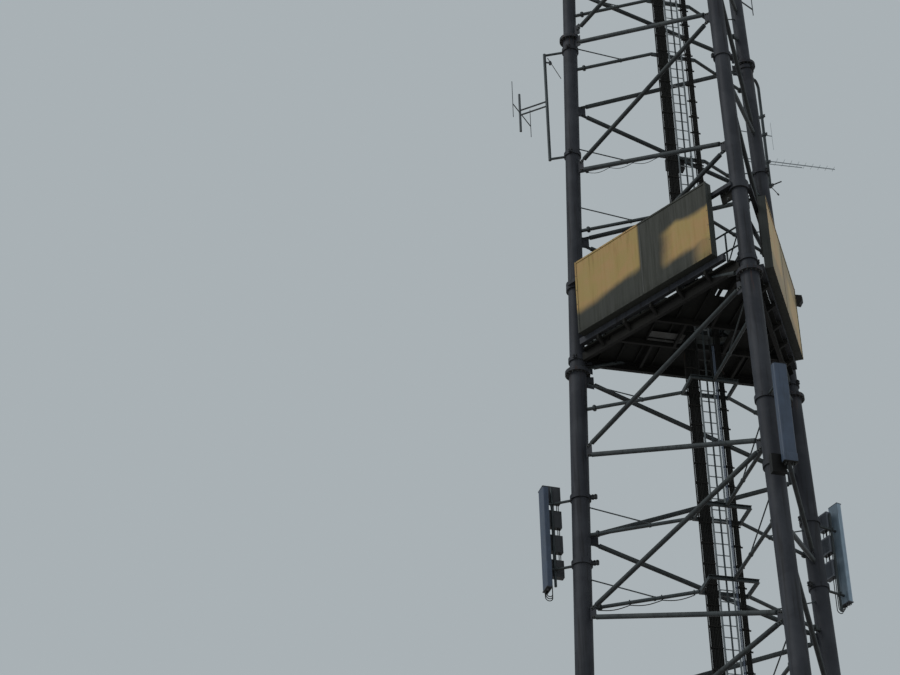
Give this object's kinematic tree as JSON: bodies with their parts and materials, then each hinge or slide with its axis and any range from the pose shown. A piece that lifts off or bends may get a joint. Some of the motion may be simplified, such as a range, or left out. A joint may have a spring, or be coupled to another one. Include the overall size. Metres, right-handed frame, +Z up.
{
  "type": "lattice radio mast",
  "caption": "Tapering three-legged lattice radio mast of steel tubes, with a work platform, blank box signs, a central ladder with cables, and antennas on brackets.",
  "frame": {"origin": "centre of the left leg's foot plate, on its underside", "axes": "+X along the front face from the left leg to the right leg, +Y to the rear, +Z up"},
  "size_m": [7.2715, 7.2341, 27.75],
  "materials": {
    "mast_paint": "matt grey paint, weathered",
    "bracing_paint": "matt greenish grey paint, weathered",
    "galvanised": "dull zinc",
    "cable_black": "matt black sheath",
    "deck": "dark matt paint",
    "sign_cream": "faded cream paint with grey patches",
    "antenna_metal": "dull",
    "panel_grey": "blue grey moulding",
    "radio_grey": "light grey powder coat",
    "cable_grey": "pale blue grey sheath",
    "box_dark": "dark matt paint"
  },
  "bodies": {
    "root": {"left_leg_lower": "mast_paint", "left_leg_middle": "mast_paint", "right_leg_lower": "mast_paint", "right_leg_middle": "mast_paint", "rear_leg_lower": "mast_paint", "rear_leg_middle": "mast_paint", "leg_tops": "mast_paint", "foot_plates": "mast_paint", "foot_ribs": "mast_paint", "leg_flanges": "mast_paint", "clamp_bands": "mast_paint", "node_plates": "mast_paint", "front_bracing": "bracing_paint", "right_bracing": "bracing_paint", "left_bracing": "bracing_paint", "top_ring": "mast_paint", "support_pipes": "galvanised", "tie_rods": "galvanised", "frame_beams": "galvanised", "frame_links": "galvanised", "climbing_ladder": "galvanised", "fall_arrest_rail": "galvanised", "cable_ladders": "galvanised", "feeder_cables": "cable_black", "thin_cables": "cable_grey", "junction_box": "box_dark", "platform_beams": "mast_paint", "platform_joists": "mast_paint", "platform_floor": "deck", "handrail": "galvanised", "front_sign": "sign_cream", "right_sign": "sign_cream", "left_sign": "sign_cream", "sign_arms": "mast_paint", "sign_brackets": "mast_paint", "sign_lamp": "box_dark", "left_antenna_bracket": "galvanised", "rear_antenna_bracket": "galvanised", "dipole_array": "antenna_metal", "long_yagi": "antenna_metal", "short_yagi": "antenna_metal", "whip_antenna": "antenna_metal", "left_panel_antenna": "panel_grey", "right_panel_antenna": "panel_grey", "rear_panel_antenna": "panel_grey", "panel_brackets": "galvanised", "radio_units": "radio_grey", "jumper_cables": "cable_black", "lightning_rod": "antenna_metal"}
  },
  "joints": []
}
